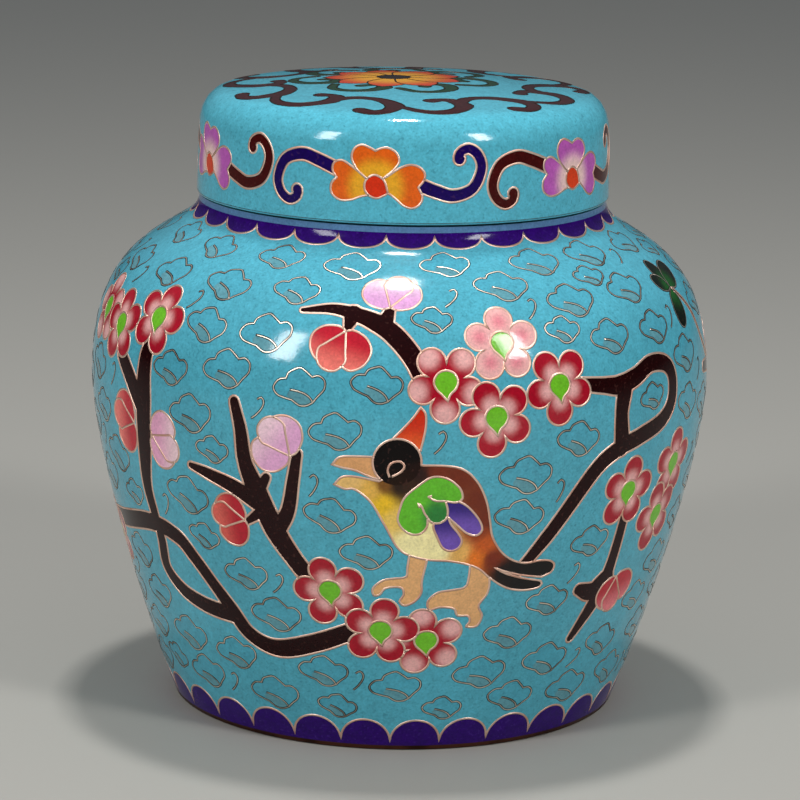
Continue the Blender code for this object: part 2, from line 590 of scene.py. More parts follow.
def skin(name, drawing, flat, triangles, tops, rest, materials):
    """The whole closed surface of a piece: its drawn sheet and, plain, the rest of its section."""
    names = list(materials)
    positions, normals = drawing.sheet.solid(flat)
    corners = triangles.ravel()
    colours = np.zeros((len(corners), 3))
    for top, cell in enumerate(drawing.cells):
        chosen = np.repeat(tops == top, 3)
        if chosen.any():
            colours[chosen] = cell.paint(cell.spot.local(flat[corners[chosen]]))
    points, faces, made_of = plain_rest(*rest)
    faces = triangles.tolist() + [[i + len(flat) for i in face] for face in faces]
    mesh = bpy.data.meshes.new(name)
    mesh.from_pydata(positions.tolist() + points, [], faces)
    made_of = [drawing.cells[top].enamel for top in tops] + made_of
    mesh.polygons.foreach_set("material_index", [names.index(kind) for kind in made_of])
    for material in materials.values():
        mesh.materials.append(material)
    rgba = np.ones((len(mesh.loops), 4), np.float32)
    rgba[:, :3] = linear(LINING)
    rgba[:len(corners), :3] = colours
    mesh.color_attributes.new("enamel", "FLOAT_COLOR", "CORNER").data.foreach_set("color", rgba.ravel())
    outward = np.zeros((len(mesh.loops), 3), np.float32)
    outward[:len(corners)] = normals[corners]
    mesh.attributes.new("outward", "FLOAT_VECTOR", "CORNER").data.foreach_set("vector", outward.ravel())
    weld(mesh)
    return add_piece(name, mesh)


def weld(mesh):
    """Joins the sheet to the rest along its rims and gives the surface its true normals."""
    shape = bmesh.new()
    shape.from_mesh(mesh)
    bmesh.ops.remove_doubles(shape, verts=shape.verts, dist=WELD)
    shape.to_mesh(mesh)
    shape.free()
    mesh.shade_smooth()
    mesh.set_sharp_from_angle(angle=SHARP_EDGE)
    outward = np.zeros(len(mesh.loops) * 3, np.float32)
    mesh.attributes["outward"].data.foreach_get("vector", outward)
    mesh.attributes.remove(mesh.attributes["outward"])
    mesh.normals_split_custom_set(outward.reshape(-1, 3).tolist())


# Motifs

def by_petal(inner, outer, heart, start, end):
    """Colours five petals outwards from a point on each one's middle line, as far from the centre as said."""
    fifth = math.tau / 5

    def paint(points):
        turn = (np.angle(points) - math.pi / 2 + fifth / 2) % fifth - fifth / 2
        away = np.abs(np.abs(points) * np.exp(1j * turn) - heart)
        return blend(inner, outer, (away - start) / (end - start))
    return paint


BLOSSOM_LOOKS = {
    "crimson": by_petal(PALE_PINK, CRIMSON, 2.7, 0.5, 2.5),
    "reversed": by_petal(PALE_PINK, CRIMSON, 5.6, 0.9, 3.0),
    "pale": by_petal(ROSE, PALE_PINK, 4.2, 0.2, 2.2),
}
BLOSSOM_NOTCH = 3.45
PETAL_BULGES = (4.3, 4.15, 4.45, 4.2, 4.35)
BLOSSOM_EYE = runs([(0.3, -3.2), (-0.7, -2.1), (-1.8, -1.0), (-2.2, 0.4), (-1.4, 1.8), (0, 2.3), (1.5, 1.8),
                    (2.2, 0.4), (1.8, -1.0), (0.8, -2.0)])


def blossom(d, azimuth, up, turn, look="crimson"):
    """Five round petals that just meet, pinched in between, round a green drop."""
    spot = Spot(d.sheet, azimuth, up, turn)
    corners = BLOSSOM_NOTCH * np.exp(1j * np.radians(54 + 72 * np.arange(5)))
    d.cell(spot, lobes(corners, PETAL_BULGES), BLOSSOM_LOOKS[look], shaded=True)
    d.cell(Spot(d.sheet, azimuth, up), BLOSSOM_EYE, plain(CENTRE_GREEN))


def bud(d, azimuth, up, turn=0.0, near_stem=BUD_RED, tip=CORAL, size=1.0):
    """Three petals that hang from the stem at the origin: two behind, and a drop in front."""
    spot = Spot(d.sheet, azimuth, up, turn, size)
    look = downwards(near_stem, tip, -1.5, -7.2)
    petal = runs([(0, 0), (-1.6, 0.5), (-4.2, -0.3), (-5.7, -2.4), (-5.2, -5.0), (-3.2, -6.7), (-1.2, -6.4)],
                 [])
    d.cell(spot, petal, look, shaded=True)
    d.cell(spot, -petal.conjugate(), look, shaded=True)
    d.cell(spot, drop(8.0, 5.6) * np.exp(-0.2j), look, shaded=True)


def branch(d, points, widths):
    """A twig through places on the sheet (degrees, mm), as wide as said at each of them."""
    middle = sum(up for azimuth, up in points) / len(points)
    turn = sum(azimuth for azimuth, up in points) / len(points)
    spot = Spot(d.sheet, turn, middle)
    local = []
    for azimuth, up in points:
        arm = math.radians(azimuth - turn) * d.sheet.radius_at(up)
        local.append((arm, up - middle))
    d.cell(spot, stroke(local, widths), plain(BRANCH), "branch", "branch")


LEAF_HALF_WIDTH = 0.31


def leaf(d, azimuth, up, turn, length):
    """A narrow pointed blade from its stalk at the origin."""
    spot = Spot(d.sheet, azimuth, up, turn)
    half = LEAF_HALF_WIDTH * length
    side = [(half * 0.75, 0.25 * length), (half, 0.6 * length), (half * 0.62, 0.9 * length)]
    outline = runs([(0, 0)] + side + [(0, length)] + [(-x, y) for x, y in side[::-1]])
    look = outwards(LEAF_GREEN, LEAF_TIP, 1.0, 0.7 * length)
    d.cell(spot, outline, look, "branch", wire=CLOUD_WIRE, shaded=True)


def bird(d):
    """A small crested bird that stands in profile and looks to the left."""
    spot = Spot(d.sheet, 7.0, 49.1)
    tan = (226, 172, 116)
    left_leg = runs([(-4.2, -5.0), (-4.6, -9.1), (-4.8, -11.2), (-7.0, -11.6), (-9.0, -12.1),
                     (-10.7, -13.8), (-10.4, -15.3), (-9.4, -15.1), (-8.5, -13.8), (-6.9, -13.4),
                     (-5.4, -13.6), (-5.0, -15.0), (-5.7, -16.4), (-4.7, -17.3), (-2.9, -16.4),
                     (-1.8, -14.5), (-1.8, -11.9), (-0.9, -6.6)], [])
    right_leg = runs([(7.0, -8.2), (6.8, -11.9), (6.2, -13.6), (3.9, -14.1), (1.2, -14.6), (-0.5, -16.4),
                      (-0.1, -18.2), (1.8, -17.7), (4.4, -18.1), (5.2, -19.6), (7.2, -19.8), (7.6, -21.0),
                      (7.0, -22.1), (9.0, -22.1), (9.9, -19.9), (9.1, -17.7), (10.6, -15.2), (10.9, -12.6),
                      (10.4, -10.0)], [])
    d.cell(spot, left_leg, plain(tan))
    d.cell(spot, right_leg, plain(tan))
    crest = runs([(-9.4, 14.9), (-6.8, 17.6), (-4.9, 19.7), (-3.3, 21.9)],
                 [(-2.4, 20.6), (-2.4, 17.9), (-3.2, 14.0)], [])
    d.cell(spot, crest, downwards((232, 96, 40), (204, 44, 14), 14, 19), shaded=True)
    upper_beak = runs([(-11.0, 12.6), (-14.4, 12.6), (-17.7, 12.3), (-19.1, 10.8)],
                      [(-17.3, 10.3), (-14.9, 9.9), (-11.9, 8.7), (-9.8, 8.3)], [])
    d.cell(spot, upper_beak, plain((216, 158, 104)))
    body = runs([(-10.5, 8.0), (-14.8, 8.7), (-17.2, 8.5), (-18.6, 7.0)],
                [(-16.6, 6.2), (-14.8, 6.2), (-11.8, 3.8), (-9.1, -0.7), (-6.1, -5.7), (-1.8, -7.5),
                 (2.9, -8.0), (6.3, -8.8), (8.7, -9.9), (11.2, -12.2), (14.3, -14.3), (17.8, -15.2),
                 (20.9, -15.0), (21.7, -14.2)],
                [(21.4, -13.6), (17.6, -12.6), (14.1, -11.3), (11.8, -9.9)],
                [(14.1, -10.9), (17.6, -12.0), (21.5, -12.8)],
                [(23.5, -12.0), (24.1, -10.6), (23.2, -9.6), (20.9, -9.2), (17.9, -9.4), (15.3, -8.6),
                 (12.8, -6.6), (10.9, -3.4), (10.2, 0.0), (9.4, 3.7), (7.7, 7.4), (5.2, 10.0), (2.0, 11.0),
                 (-4.5, 11.2)],
                [])
    gold, cream, orange = (236, 190, 38), (248, 236, 172), (230, 118, 32)
    brown, black = (112, 42, 20), (8, 3, 3)
    plumage = spots((-15.5, 7.4, (230, 186, 112)), (-12.0, 6.0, (228, 178, 80)), (-9.5, 3.5, gold),
                    (-9.5, 7.3, (120, 76, 26)), (-7.0, 7.0, (40, 22, 10)), (-7.0, 0.5, (232, 194, 96)),
                    (-4.0, -4.2, cream), (1.0, -5.5, cream), (-2.5, -0.5, cream),
                    (5.0, -6.5, (232, 178, 96)), (8.0, -7.5, orange), (9.5, -5.0, (198, 88, 28)),
                    (8.0, -2.5, (150, 62, 26)), (9.5, 0.0, brown), (8.0, 4.0, brown), (4.5, 9.0, brown),
                    (0.0, 10.0, brown), (-3.2, 9.4, (42, 16, 10)), (-5.0, 6.5, (50, 26, 12)),
                    (11.0, -8.0, (120, 40, 16)), (13.5, -11.0, black), (17.0, -13.6, black),
                    (21.0, -14.4, black), (16.0, -10.2, black), (20.0, -10.6, black), (23.0, -11.0, black))
    d.cell(spot, body, plumage, group="bird", shaded=True)
    ink = (10, 5, 5)
    face = spots((-7.3, 12.0, ink), (-10.4, 12.0, ink), (-9.0, 14.6, ink), (-5.5, 15.0, ink),
                 (-9.6, 9.2, ink), (-4.0, 13.0, ink), (-3.2, 10.6, (30, 12, 8)), (-5.2, 8.4, (34, 16, 9)),
                 (-7.6, 7.6, (36, 20, 10)))
    d.cell(spot, disc(-7.35, 11.7, 4.4), face, "branch", group="bird", shaded=True)
    d.line(spot, runs([(-8.6, 8.8), (-9.0, 10.2), (-8.4, 11.5), (-6.9, 11.9), (-6.0, 11.1),
                             (-6.4, 10.1), (-7.5, 9.3)]))
    purple_left = runs([(0.4, 1.2), (-0.3, -0.8), (0.5, -3.0), (1.6, -5.2), (3.0, -5.9), (4.5, -5.4),
                        (5.1, -3.9), (4.4, -2.4), (3.0, -0.6), (2.3, 1.0)], [(1.0, 2.0)])
    purple_right = runs([(1.2, 3.8), (3.0, 4.4), (5.7, 3.1), (8.1, 0.3), (8.8, -1.8), (7.8, -2.9),
                         (6.0, -2.4), (4.1, -0.7), (2.3, 1.0)], [(1.0, 2.4)])
    feather = (112, 82, 176)
    d.cell(spot, purple_left, downwards((52, 34, 120), feather, 0, -4), shaded=True)
    d.cell(spot, purple_right, downwards((52, 34, 120), feather, 3, -1), shaded=True)
    wing = runs([(-6.7, 1.9), (-5.8, 4.8), (-3.4, 7.2), (-0.9, 8.9), (1.8, 8.6), (4.2, 6.7), (4.8, 4.7),
                 (3.6, 3.9), (1.7, 4.2)], [(2.2, 2.4), (2.0, 0.7), (0.7, -0.2), (-0.7, 0.0), (-1.4, 0.9)],
                [(-1.5, -1.0), (-2.6, -2.3), (-4.3, -2.4), (-5.9, -1.3), (-6.8, 0.4)])
    green, deep_green = (98, 186, 44), (44, 126, 56)
    d.cell(spot, wing, spots((-5, 0, green), (-4, 4.5, green), (0, 7.5, green), (3.2, 5.5, green),
                                   (0.4, 1.6, deep_green)), shaded=True)
    d.line(spot, through([(-1.3, 0.8), (-2.0, 1.8), (-2.6, 3.2), (-3.2, 3.7), (-2.9, 2.9)]))
    d.line(spot, through([(1.8, 4.2), (-0.2, 4.3), (-1.4, 5.1), (-0.8, 5.3)]))


# Clouds fill the ground wherever the motifs leave room

CLOUD_FOOT = [(1.2, -3.4), (-0.2, -3.3), (-1.6, -2.2)]
CLOUD = runs([(-2.4, 1.8), (-1.8, 2.8), (-0.4, 3.4), (0.6, 3.5), (1.7, 2.6), (2.6, 1.7)],
             [(3.9, 1.8), (4.9, 0.8), (4.7, -0.7), (3.4, -1.9), (2.4, -2.9)], CLOUD_FOOT,
             [(-3.0, -1.7), (-4.4, -1.0), (-5.0, 0.3), (-3.9, 1.6)])
HOOK = [(-1.8, -0.3), (-0.6, -0.6), (0.7, -1.1), (1.8, -1.9), (2.4, -2.9)]
CLOUD_HOOK = through(HOOK)
CLOUD_SHADE = runs(HOOK, CLOUD_FOOT, [(-2.4, -1.3)])
COMMA = through([(-0.7, 1.6), (0.1, 2.1), (0.7, 1.4), (0.5, 0.2), (-0.4, -1.2), (-1.3, -2.1)])


def cloud(d, spot):
    d.cell(spot, CLOUD, plain(CLOUD_BLUE), "ground", wire=CLOUD_WIRE)
    group = d.cells[-1].group
    d.cell(spot, CLOUD_SHADE, plain(CLOUD_GREY), "ground", group, CLOUD_WIRE)
    d.line(spot, CLOUD_HOOK, CLOUD_WIRE)


def clear(tree, spot, outline, gap):
    """Whether an outline and its middle keep that far from all that the tree holds."""
    samples = np.r_[outline[::3], outline.mean(), (outline[::6] + outline.mean()) / 2]
    solid = spot.sheet.solid(spot.map(samples))[0] / MM
    return all(tree.find(point)[2] > gap for point in solid)


# Rows of clouds: how far up, the azimuth of one of them, and how many go round. Each cloud tries places on a
# widening spiral until it has room.
CLOUD_ROWS = ((102.0, -8.4, 18), (93.6, -18.9, 20), (84.0, -25.5, 27), (74.8, -17.7, 26), (66.0, -10.9, 25),
              (57.6, -20.0, 25), (49.8, -12.1, 24), (42.6, -5.5, 23), (35.6, -14.0, 22), (27.8, -24.7, 21),
              (19.0, -16.7, 21), (11.2, -12.0, 20))
CLOUD_TURNS = (-9, 9)
CLOUD_SIZES = (0.90, 1.06)
CLOUD_GAP = 0.8
CLOUD_SPACING = 10.9
CLOUD_STRETCH = np.array([1, 1, 1.4])
NUDGE_STEP = 0.85
NUDGE_TURN = 2.4
NUDGES = [NUDGE_STEP * math.sqrt(k) * np.exp(NUDGE_TURN * 1j * k) for k in range(48)]

# What fills the gaps: an outline, its size, how far it keeps from all else, and how far apart those stand
GAP_FILLERS = ((CLOUD, 0.74, 1.0, 12), (COMMA, 1.0, 1.5, 14))
GAP_ROWS = np.arange(9.0, 104.0, 1.5)
GAP_STEP = 3.0
GAP_TURNS = (-15, 15)


def fill_with_clouds(d):
    random = np.random.default_rng(7)
    motifs = d.taken()
    sheet = d.sheet
    centres = []
    for up, first, count in CLOUD_ROWS:
        for k in range(count):
            azimuth = first + 360 * k / count
            turn = random.uniform(*CLOUD_TURNS)
            size = random.uniform(*CLOUD_SIZES)
            for nudge in NUDGES:
                rise = up + nudge.imag
                side = azimuth + math.degrees(nudge.real / sheet.radius_at(rise))
                spot = Spot(sheet, side, rise, turn, size)
                middle = sheet.solid(spot.map([0j]))[0][0] / MM
                gaps = [np.linalg.norm((middle - c) * CLOUD_STRETCH) for c in centres]
                if min(gaps, default=math.inf) > CLOUD_SPACING and clear(motifs, spot, CLOUD, CLOUD_GAP):
                    cloud(d, spot)
                    centres.append(middle)
                    break
    fill_gaps(d, random)


def fill_gaps(d, random):
    """Small clouds in what is left of the ground, and commas where even those don't fit."""
    sheet = d.sheet
    for outline, size, gap, apart in GAP_FILLERS:
        tree = d.taken()
        centres = []
        for up in GAP_ROWS:
            for azimuth in np.arange(0, 360, GAP_STEP) + random.uniform(0, GAP_STEP):
                spot = Spot(sheet, azimuth, up, random.uniform(*GAP_TURNS), size)
                middle = sheet.solid(spot.map([0j]))[0][0] / MM
                crowded = any(np.linalg.norm(middle - c) < apart for c in centres)
                if crowded or not clear(tree, spot, outline, gap):
                    continue
                centres.append(middle)
                if outline is CLOUD:
                    cloud(d, spot)
                else:
                    d.lines.append((spot.map(outline), "ground", CLOUD_WIRE))


# The body's picture

# Bands: how many scallops they have, and their heights up from the foot or down from the top. A level band's
# points are turned a little against the sheet's own rings.
FOOT_BAND = 0.25
FOOT_SCALLOPS = 30
FOOT_CUSPS = 1.2
FOOT_TIPS = 6.2
NECK_SCALLOPS = 28
NECK_CUSPS = 1.8
NECK_TIPS = 4.3
COLLAR_BAND = 1.1
SCALLOP_POINTS = 24
LEVEL_TURN = 0.01


def scalloped(count, first, cusp, tip):
    """A closed line of places round a sheet, in half ellipses from cusp to cusp."""
    t = np.arange(0, 1, 1 / SCALLOP_POINTS)
    azimuth = []
    up = []
    for k in range(count):
        azimuth.extend(math.radians(first) + math.tau / count * (k + (1 - np.cos(math.pi * t)) / 2))
        up.extend(cusp + (tip - cusp) * np.sin(math.pi * t))
    return np.array(azimuth), np.array(up)


def level(up):
    turn = np.arange(RING_POINTS) * math.tau / RING_POINTS + LEVEL_TURN
    return turn, np.full(RING_POINTS, up)


def body_drawing(sheet):
    d = Drawing(sheet)
    d.band(level(FOOT_BAND), plain(INDIGO), "indigo", "bare")
    d.band(scalloped(FOOT_SCALLOPS, -0.5, FOOT_CUSPS, FOOT_TIPS), plain(TURQUOISE), "ground", "ground")
    branches(d)
    blossoms(d)
    bird(d)
    neck = scalloped(NECK_SCALLOPS, -4.2, sheet.top - NECK_CUSPS, sheet.top - NECK_TIPS)
    d.band(neck, plain(INDIGO), "indigo", "neck")
    # Painted shade and a painted reflection of the lid, as a grey-blue band under its rim, with no wire to
    # the indigo
    d.band(level(sheet.top - COLLAR_BAND), plain(COLLAR_SHADE_AND_REFLECTION), "ground", "neck")
    fill_with_clouds(d)
    return d


def branches(d):
    branch(d, [(-19.1, 87.9), (-13.3, 88.6), (-8.7, 87.8), (-4.4, 86.2), (-0.9, 83.8), (2.6, 79.5),
               (5.0, 74.5)],
           [1.1, 2.2, 3.0, 3.7, 3.8, 3.7, 3.6])
    branch(d, [(-3.0, 85.5), (-2.0, 89.0)], [3.6, 2.0])
    branch(d, [(-9.0, 87.8), (-9.9, 84.2)], [3.8, 1.2])
    branch(d, [(34.0, 73.6), (39.2, 72.8), (43.0, 72.4), (47.4, 73.4), (51.9, 75.1), (56.6, 74.4),
               (58.8, 71.6), (58.2, 66.8), (54.9, 63.8), (48.5, 61.9), (42.6, 60.2), (37.2, 56.2),
               (28.8, 44.2), (23.5, 37.4)],
           [2.6, 3.1, 3.9, 3.7, 3.4, 3.3, 3.4, 3.6, 3.7, 3.7, 3.7, 3.6, 3.2, 2.2])
    branch(d, [(44.1, 71.6), (43.2, 66.9), (43.8, 60.7)], [4.2, 3.5, 4.2])
    branch(d, [(48.2, 48.3), (47.5, 37.1), (46.0, 30.5), (40.7, 21.5)], [2.6, 3.1, 4.2, 2.0])
    branch(d, [(46.8, 33.0), (43.4, 31.2), (39.6, 32.2)], [5.0, 4.4, 2.6])
    branch(d, [(-50.5, 79.0), (-52.5, 74.8), (-52.3, 66.3), (-52.7, 58.5), (-54.0, 49.7), (-53.4, 43.7),
               (-52.8, 38.3), (-53.2, 32.6), (-49.2, 28.7), (-42.7, 26.7), (-35.6, 26.0)],
           [3.4, 4.0, 5.0, 4.7, 3.4, 3.0, 3.0, 3.1, 3.5, 3.7, 3.7])
    branch(d, [(-61.5, 73.6), (-57.0, 69.6), (-52.5, 64.4)], [3.6, 3.9, 4.2])
    branch(d, [(-150, 56), (-128, 50), (-108, 41), (-90, 37), (-72, 38.6), (-56, 41.4), (-47.4, 40.3),
               (-42.8, 36.3), (-39.2, 32.1), (-35.5, 27.5), (-31.8, 22.6), (-25.5, 20.4), (-16.8, 22.5),
               (-7.6, 26.2)],
           [1.6, 3.0, 3.7, 3.8, 3.8, 3.8, 3.8, 3.5, 3.3, 3.7, 3.8, 3.9, 3.7, 3.4])
    branch(d, [(-29.9, 69.7), (-28.5, 64.7), (-27.8, 58.7), (-25.9, 53.5), (-22.8, 45.8), (-19.6, 40.5),
               (-15.5, 35.0)],
           [2.2, 2.8, 3.3, 4.5, 4.6, 3.9, 3.6])
    branch(d, [(-40.0, 56.0), (-36.5, 55.2), (-30.7, 53.4), (-26.0, 51.0)], [1.6, 2.5, 3.3, 3.8])
    branch(d, [(-17.7, 61.4), (-18.6, 56.3), (-19.9, 50.0), (-22.3, 45.8)], [2.1, 2.5, 2.9, 3.4])
    branch(d, [(-23.7, 56.2), (-25.6, 53.0)], [1.9, 2.8])
    branch(d, [(-28.6, 46.6), (-25.0, 49.3)], [1.4, 2.6])
    branch(d, [(-108, 41), (-118, 32), (-132, 27)], [3.4, 2.8, 1.6])
    branch(d, [(-128, 50), (-132, 62), (-146, 72), (-152, 80)], [3.2, 2.8, 2.4, 1.6])
    branch(d, [(77, 70), (88, 69), (104, 68), (122, 60), (140, 58), (156, 64)],
           [2.2, 3.2, 3.4, 3.2, 2.7, 1.6])
    branch(d, [(104, 68), (110, 78), (122, 86), (134, 90)], [3.2, 2.8, 2.3, 1.6])
    branch(d, [(122, 60), (126, 48), (138, 38), (152, 34)], [3.0, 2.6, 2.2, 1.4])
    branch(d, [(70.5, 86.8), (74.7, 81.8), (77.5, 76.0), (84, 69.4)], [0.8, 0.9, 1.0, 1.4])


def blossoms(d):
    for place in ((18.8, 82.2, 0, "pale"), (8.2, 75.3, 34, "reversed"), (29.4, 73.8, 34), (17.2, 68.7, 26),
                  (-74.2, 80.0, 5, "reversed"), (-51.7, 82.0, -14), (-64.2, 78.5, 8),
                  (6.6, 24.0, 12, "reversed"), (-12.7, 34.1, 16), (-2.8, 26.1, -10), (-79.0, 34.0, 20),
                  (62.5, 54.0, 0), (59.8, 44.0, 18), (47.6, 51.1, -6), (156, 66, 0),
                  (168, 60, 24, "reversed"), (138, 92, 10, "pale"), (127, 85, -12), (154, 32, 8),
                  (-134, 25, -10), (-154, 84, 14), (-152, 55, 0)):
        blossom(d, *place)
    bud(d, -10.0, 84.4, -14)
    bud(d, -2.0, 89.4, 176, LILAC, (240, 214, 226), 0.94)
    bud(d, -19.0, 60.8, -128, (226, 166, 206), (242, 206, 216), 1.04)
    bud(d, -28.9, 46.9, -84, BUD_RED, (226, 104, 90), 0.92)
    bud(d, -50.0, 60.0, 82, (224, 160, 190), (240, 206, 212), 0.98)
    bud(d, -55.6, 61.2, -86, BUD_RED, CORAL, 1.05)
    bud(d, 50.6, 33.0, 14, BUD_RED, (226, 120, 126), 0.94)
    bud(d, -140, 69.0, 60, BUD_RED, CORAL, 0.95)
    bud(d, 88, 71.0, 170, LILAC, (240, 214, 226), 0.95)
    bud(d, 124.4, 50.5, -70, BUD_RED, CORAL, 0.95)
    for turn, length in ((8, 7.0), (-57, 8.4), (60, 6.0), (164, 8.2)):
        leaf(d, 69.7, 87.4, turn, length)
    for turn, length in ((172, 7.0), (118, 7.6), (232, 6.4)):
        leaf(d, -119.5, 30.6, turn, length)


# The lid's picture

SPRIGS = 6
SPRIG_HEIGHT = 6.5
FIRST_SPRIG = -7.2
VINE_TURNS = 7
VINE_START = -53.0


def sprig(d, azimuth, petal_look, eye, scroll):
    """A flower with three notched petals round an eye, between two hooked scrolls."""
    spot = Spot(d.sheet, azimuth, SPRIG_HEIGHT)
    right = [(7.0, 1.0), (11.1, -0.6), (14.4, -1.4), (18.0, -0.1), (19.6, 3.3), (18.9, 5.9), (17.0, 7.2),
             (15.3, 6.4), (15.3, 5.3)]
    left = [(-x, 3.9 - y) for x, y in right]
    widths = [2.6, 2.5, 2.4, 2.2, 2.1, 2.0, 1.9, 1.9, 2.3]
    for line in (right, left):
        d.cell(spot, stroke(line, widths), plain(scroll), "branch")
    upper = runs([(-1.5, 1.4), (-3.6, 3.2), (-4.6, 5.3), (-4.1, 7.0), (-2.8, 7.7), (-1.4, 7.3), (-0.2, 6.7)],
                 [(0.8, 7.2), (2.1, 7.3), (3.6, 6.5), (4.2, 4.9), (3.2, 3.3), (1.2, 1.6)], [])
    left = runs([(-1.2, 1.0), (-2.4, 2.1), (-4.5, 3.7), (-6.4, 4.7), (-7.9, 4.2), (-8.2, 2.8), (-7.4, 1.5)],
                [(-8.4, 0.3), (-8.3, -1.5), (-6.7, -2.6), (-4.6, -2.5), (-2.8, -1.8), (-1.0, -1.4)], [])
    right = runs([(1.4, -0.4), (2.6, -1.2), (3.8, -2.1), (5.1, -3.2), (6.6, -3.7), (8.0, -3.1), (8.6, -1.6),
                  (7.8, 0.2)],
                 [(8.8, 1.5), (8.9, 2.8), (7.9, 3.9), (6.1, 4.3), (4.2, 3.6), (2.2, 2.2), (0.8, 1.4)], [])
    for petal in (left, right, upper):
        d.cell(spot, petal, petal_look, shaded=True)
    middle = runs([(2.3, -1.1), (1.5, 1.3), (-0.3, 2.3), (-1.9, 1.2), (-1.9, -0.8), (0.0, -2.0)])
    d.cell(spot, middle, plain(eye))


VINE_WIDTHS = (2.0, 2.1, 2.2, 2.8, 3.6, 2.8, 2.2, 2.8)
OUTER_VINES = (
    ((22.8, 28.6), (29, 32.2), (37, 32.8), (44.5, 31.2), (49.4, 27.2), (48, 23.4), (43.5, 21.9), (39, 22.8)),
    ((0, 26.5), (6, 23.6), (12, 22.6), (18.5, 23.6), (23.6, 27.2), (22.4, 31.6), (17.5, 32.6), (13, 32.0)),
)
# The inner vines and the middle flower were laid out about this point, off the lid's axis. The vines' places
# are angles in degrees and distances from it in mm.
ROSETTE_PLACE = complex(-2.2, 2.6)
INNER_VINE = ((6, 15.2), (15, 18.6), (26, 19.6), (38, 18.2), (46, 14.8), (42, 12.2), (33, 12.4), (27, 13.8))
INNER_VINE_SHARE = 0.85
ROSETTE_PETALS = 9
ROSETTE_TURN = 12
ROSETTE_HEART = 3.2
LID_BAND = 0.1


def outer_vine(d, start):
    """One length of the maroon scrolls near the lid's edge."""
    for line in OUTER_VINES:
        azimuth, up = line[3]
        spot = Spot(d.sheet, start + azimuth, up)
        local = [(math.radians(x - azimuth) * d.sheet.radius_at(y), y - up) for x, y in line]
        d.cell(spot, stroke(local, VINE_WIDTHS), plain(VINE_MAROON), "branch", "outer vine", VINE_WIRE)


def inner_vine(d, start):
    """One length of the green scrolls round the middle flower."""
    spot = Spot(d.sheet, 0, d.sheet.top)
    points = []
    for angle, away in INNER_VINE:
        point = ROSETTE_PLACE + away * np.exp(1j * math.radians(start + angle - 90))
        points.append((point.real, point.imag))
    outline = stroke(points, [INNER_VINE_SHARE * width for width in VINE_WIDTHS])
    d.cell(spot, outline, plain(VINE_GREEN), "branch", "inner vine", VINE_WIRE)


def rosette(d):
    """The lid's middle flower: long petals from yellow to red round a dark heart."""
    spot = Spot(d.sheet, 0, d.sheet.top)
    petal = runs([(0, 1.0), (-2.6, 4.2), (-4.1, 8.2), (-2.6, 11.6), (0.4, 13.6)],
                 [(3.0, 11.2), (3.8, 7.8), (2.2, 4.0)])
    look = outwards((240, 170, 46), (210, 60, 30), 5.0, 12.5)
    for k in range(ROSETTE_PETALS):
        turn = math.radians(ROSETTE_TURN + 360 / ROSETTE_PETALS * k)
        outline = petal * np.exp(1j * turn) + ROSETTE_PLACE
        d.cell(spot, outline, lambda points: look(points - ROSETTE_PLACE), wire=VINE_WIRE, shaded=True)
    heart = disc(ROSETTE_PLACE.real, ROSETTE_PLACE.imag, ROSETTE_HEART)
    d.cell(spot, heart, plain((24, 8, 12)), "branch", wire=VINE_WIRE)


def lid_drawing(sheet):
    d = Drawing(sheet)
    # Painted light: the lid's ground band is a lighter turquoise than the jar's
    d.band(level(LID_BAND), plain(LIT_LID_TURQUOISE), "ground", "bare")
    orange = outwards((232, 166, 40), (226, 96, 24), 3.6, 6.4)
    orchid = outwards((240, 202, 196), (186, 90, 178), 2.8, 6.0)
    for k in range(SPRIGS):
        azimuth = FIRST_SPRIG + 360 / SPRIGS * k
        if k % 2:
            sprig(d, azimuth, orchid, (216, 62, 20), SCROLL_MAROON)
        else:
            sprig(d, azimuth, orange, (216, 50, 18), SCROLL_NAVY)
    for k in range(VINE_TURNS):
        outer_vine(d, VINE_START + 360 / VINE_TURNS * k)
        inner_vine(d, VINE_START + 360 / VINE_TURNS * k)
    rosette(d)
    return d


# Materials

# Noise in the fired enamel: its scales, and the values that it runs between
BROAD_SCALE = 60.0
MOTTLE_SCALE = 650.0
GRAIN_SCALE = 2200.0
SPECK_SCALE = 1700.0
NOISE_SPAN = (0.3, 0.7)
SPECK_SPAN = (0.68, 0.76)
BROAD_SHADES = (0.95, 1.05)
MOTTLE_SHARE = 0.6
ENAMEL_ROUGHNESS = (0.07, 0.13)
ENAMEL_IOR = 1.52
PIT_STRENGTH = 0.05
PIT_DEPTH = 0.0002

# Tarnish on copper: its scale, where it shows, how strong it gets and how much rougher it is
TARNISH_SCALE = 180.0
TARNISH_SPAN = (0.45, 0.65)
MOST_TARNISH = 0.7
TARNISH_ROUGHNESS = 0.15


def node_material(name):
    material = bpy.data.materials.new(name)
    material.use_nodes = True
    nodes = material.node_tree.nodes
    shader = nodes["Principled BSDF"]
    return material, nodes, material.node_tree.links, shader


def noise(nodes, links, where, scale, detail=2.0, roughness=0.5):
    node = nodes.new("ShaderNodeTexNoise")
    node.inputs["Scale"].default_value = scale
    node.inputs["Detail"].default_value = detail
    node.inputs["Roughness"].default_value = roughness
    links.new(where, node.inputs["Vector"])
    return node.outputs["Fac"]


def ramp(nodes, links, value, span, result):
    """Carries a value from its span (low, high) over to the span of the result."""
    node = nodes.new("ShaderNodeMapRange")
    for socket, number in zip(("From Min", "From Max", "To Min", "To Max"), (*span, *result)):
        node.inputs[socket].default_value = number
    links.new(value, node.inputs["Value"])
    return node.outputs["Result"]


def scaled(nodes, links, colour, factor):
    node = nodes.new("ShaderNodeVectorMath")
    node.operation = "SCALE"
    links.new(colour, node.inputs[0])
    links.new(factor, node.inputs["Scale"])
    return node.outputs["Vector"]


def mix_towards(nodes, links, factor, colour):
    """A node that mixes whatever its input A gets with the colour."""
    node = nodes.new("ShaderNodeMix")
    node.data_type = "RGBA"
    links.new(factor, node.inputs["Factor"])
    node.inputs["B"].default_value = (*linear(colour), 1)
    return node


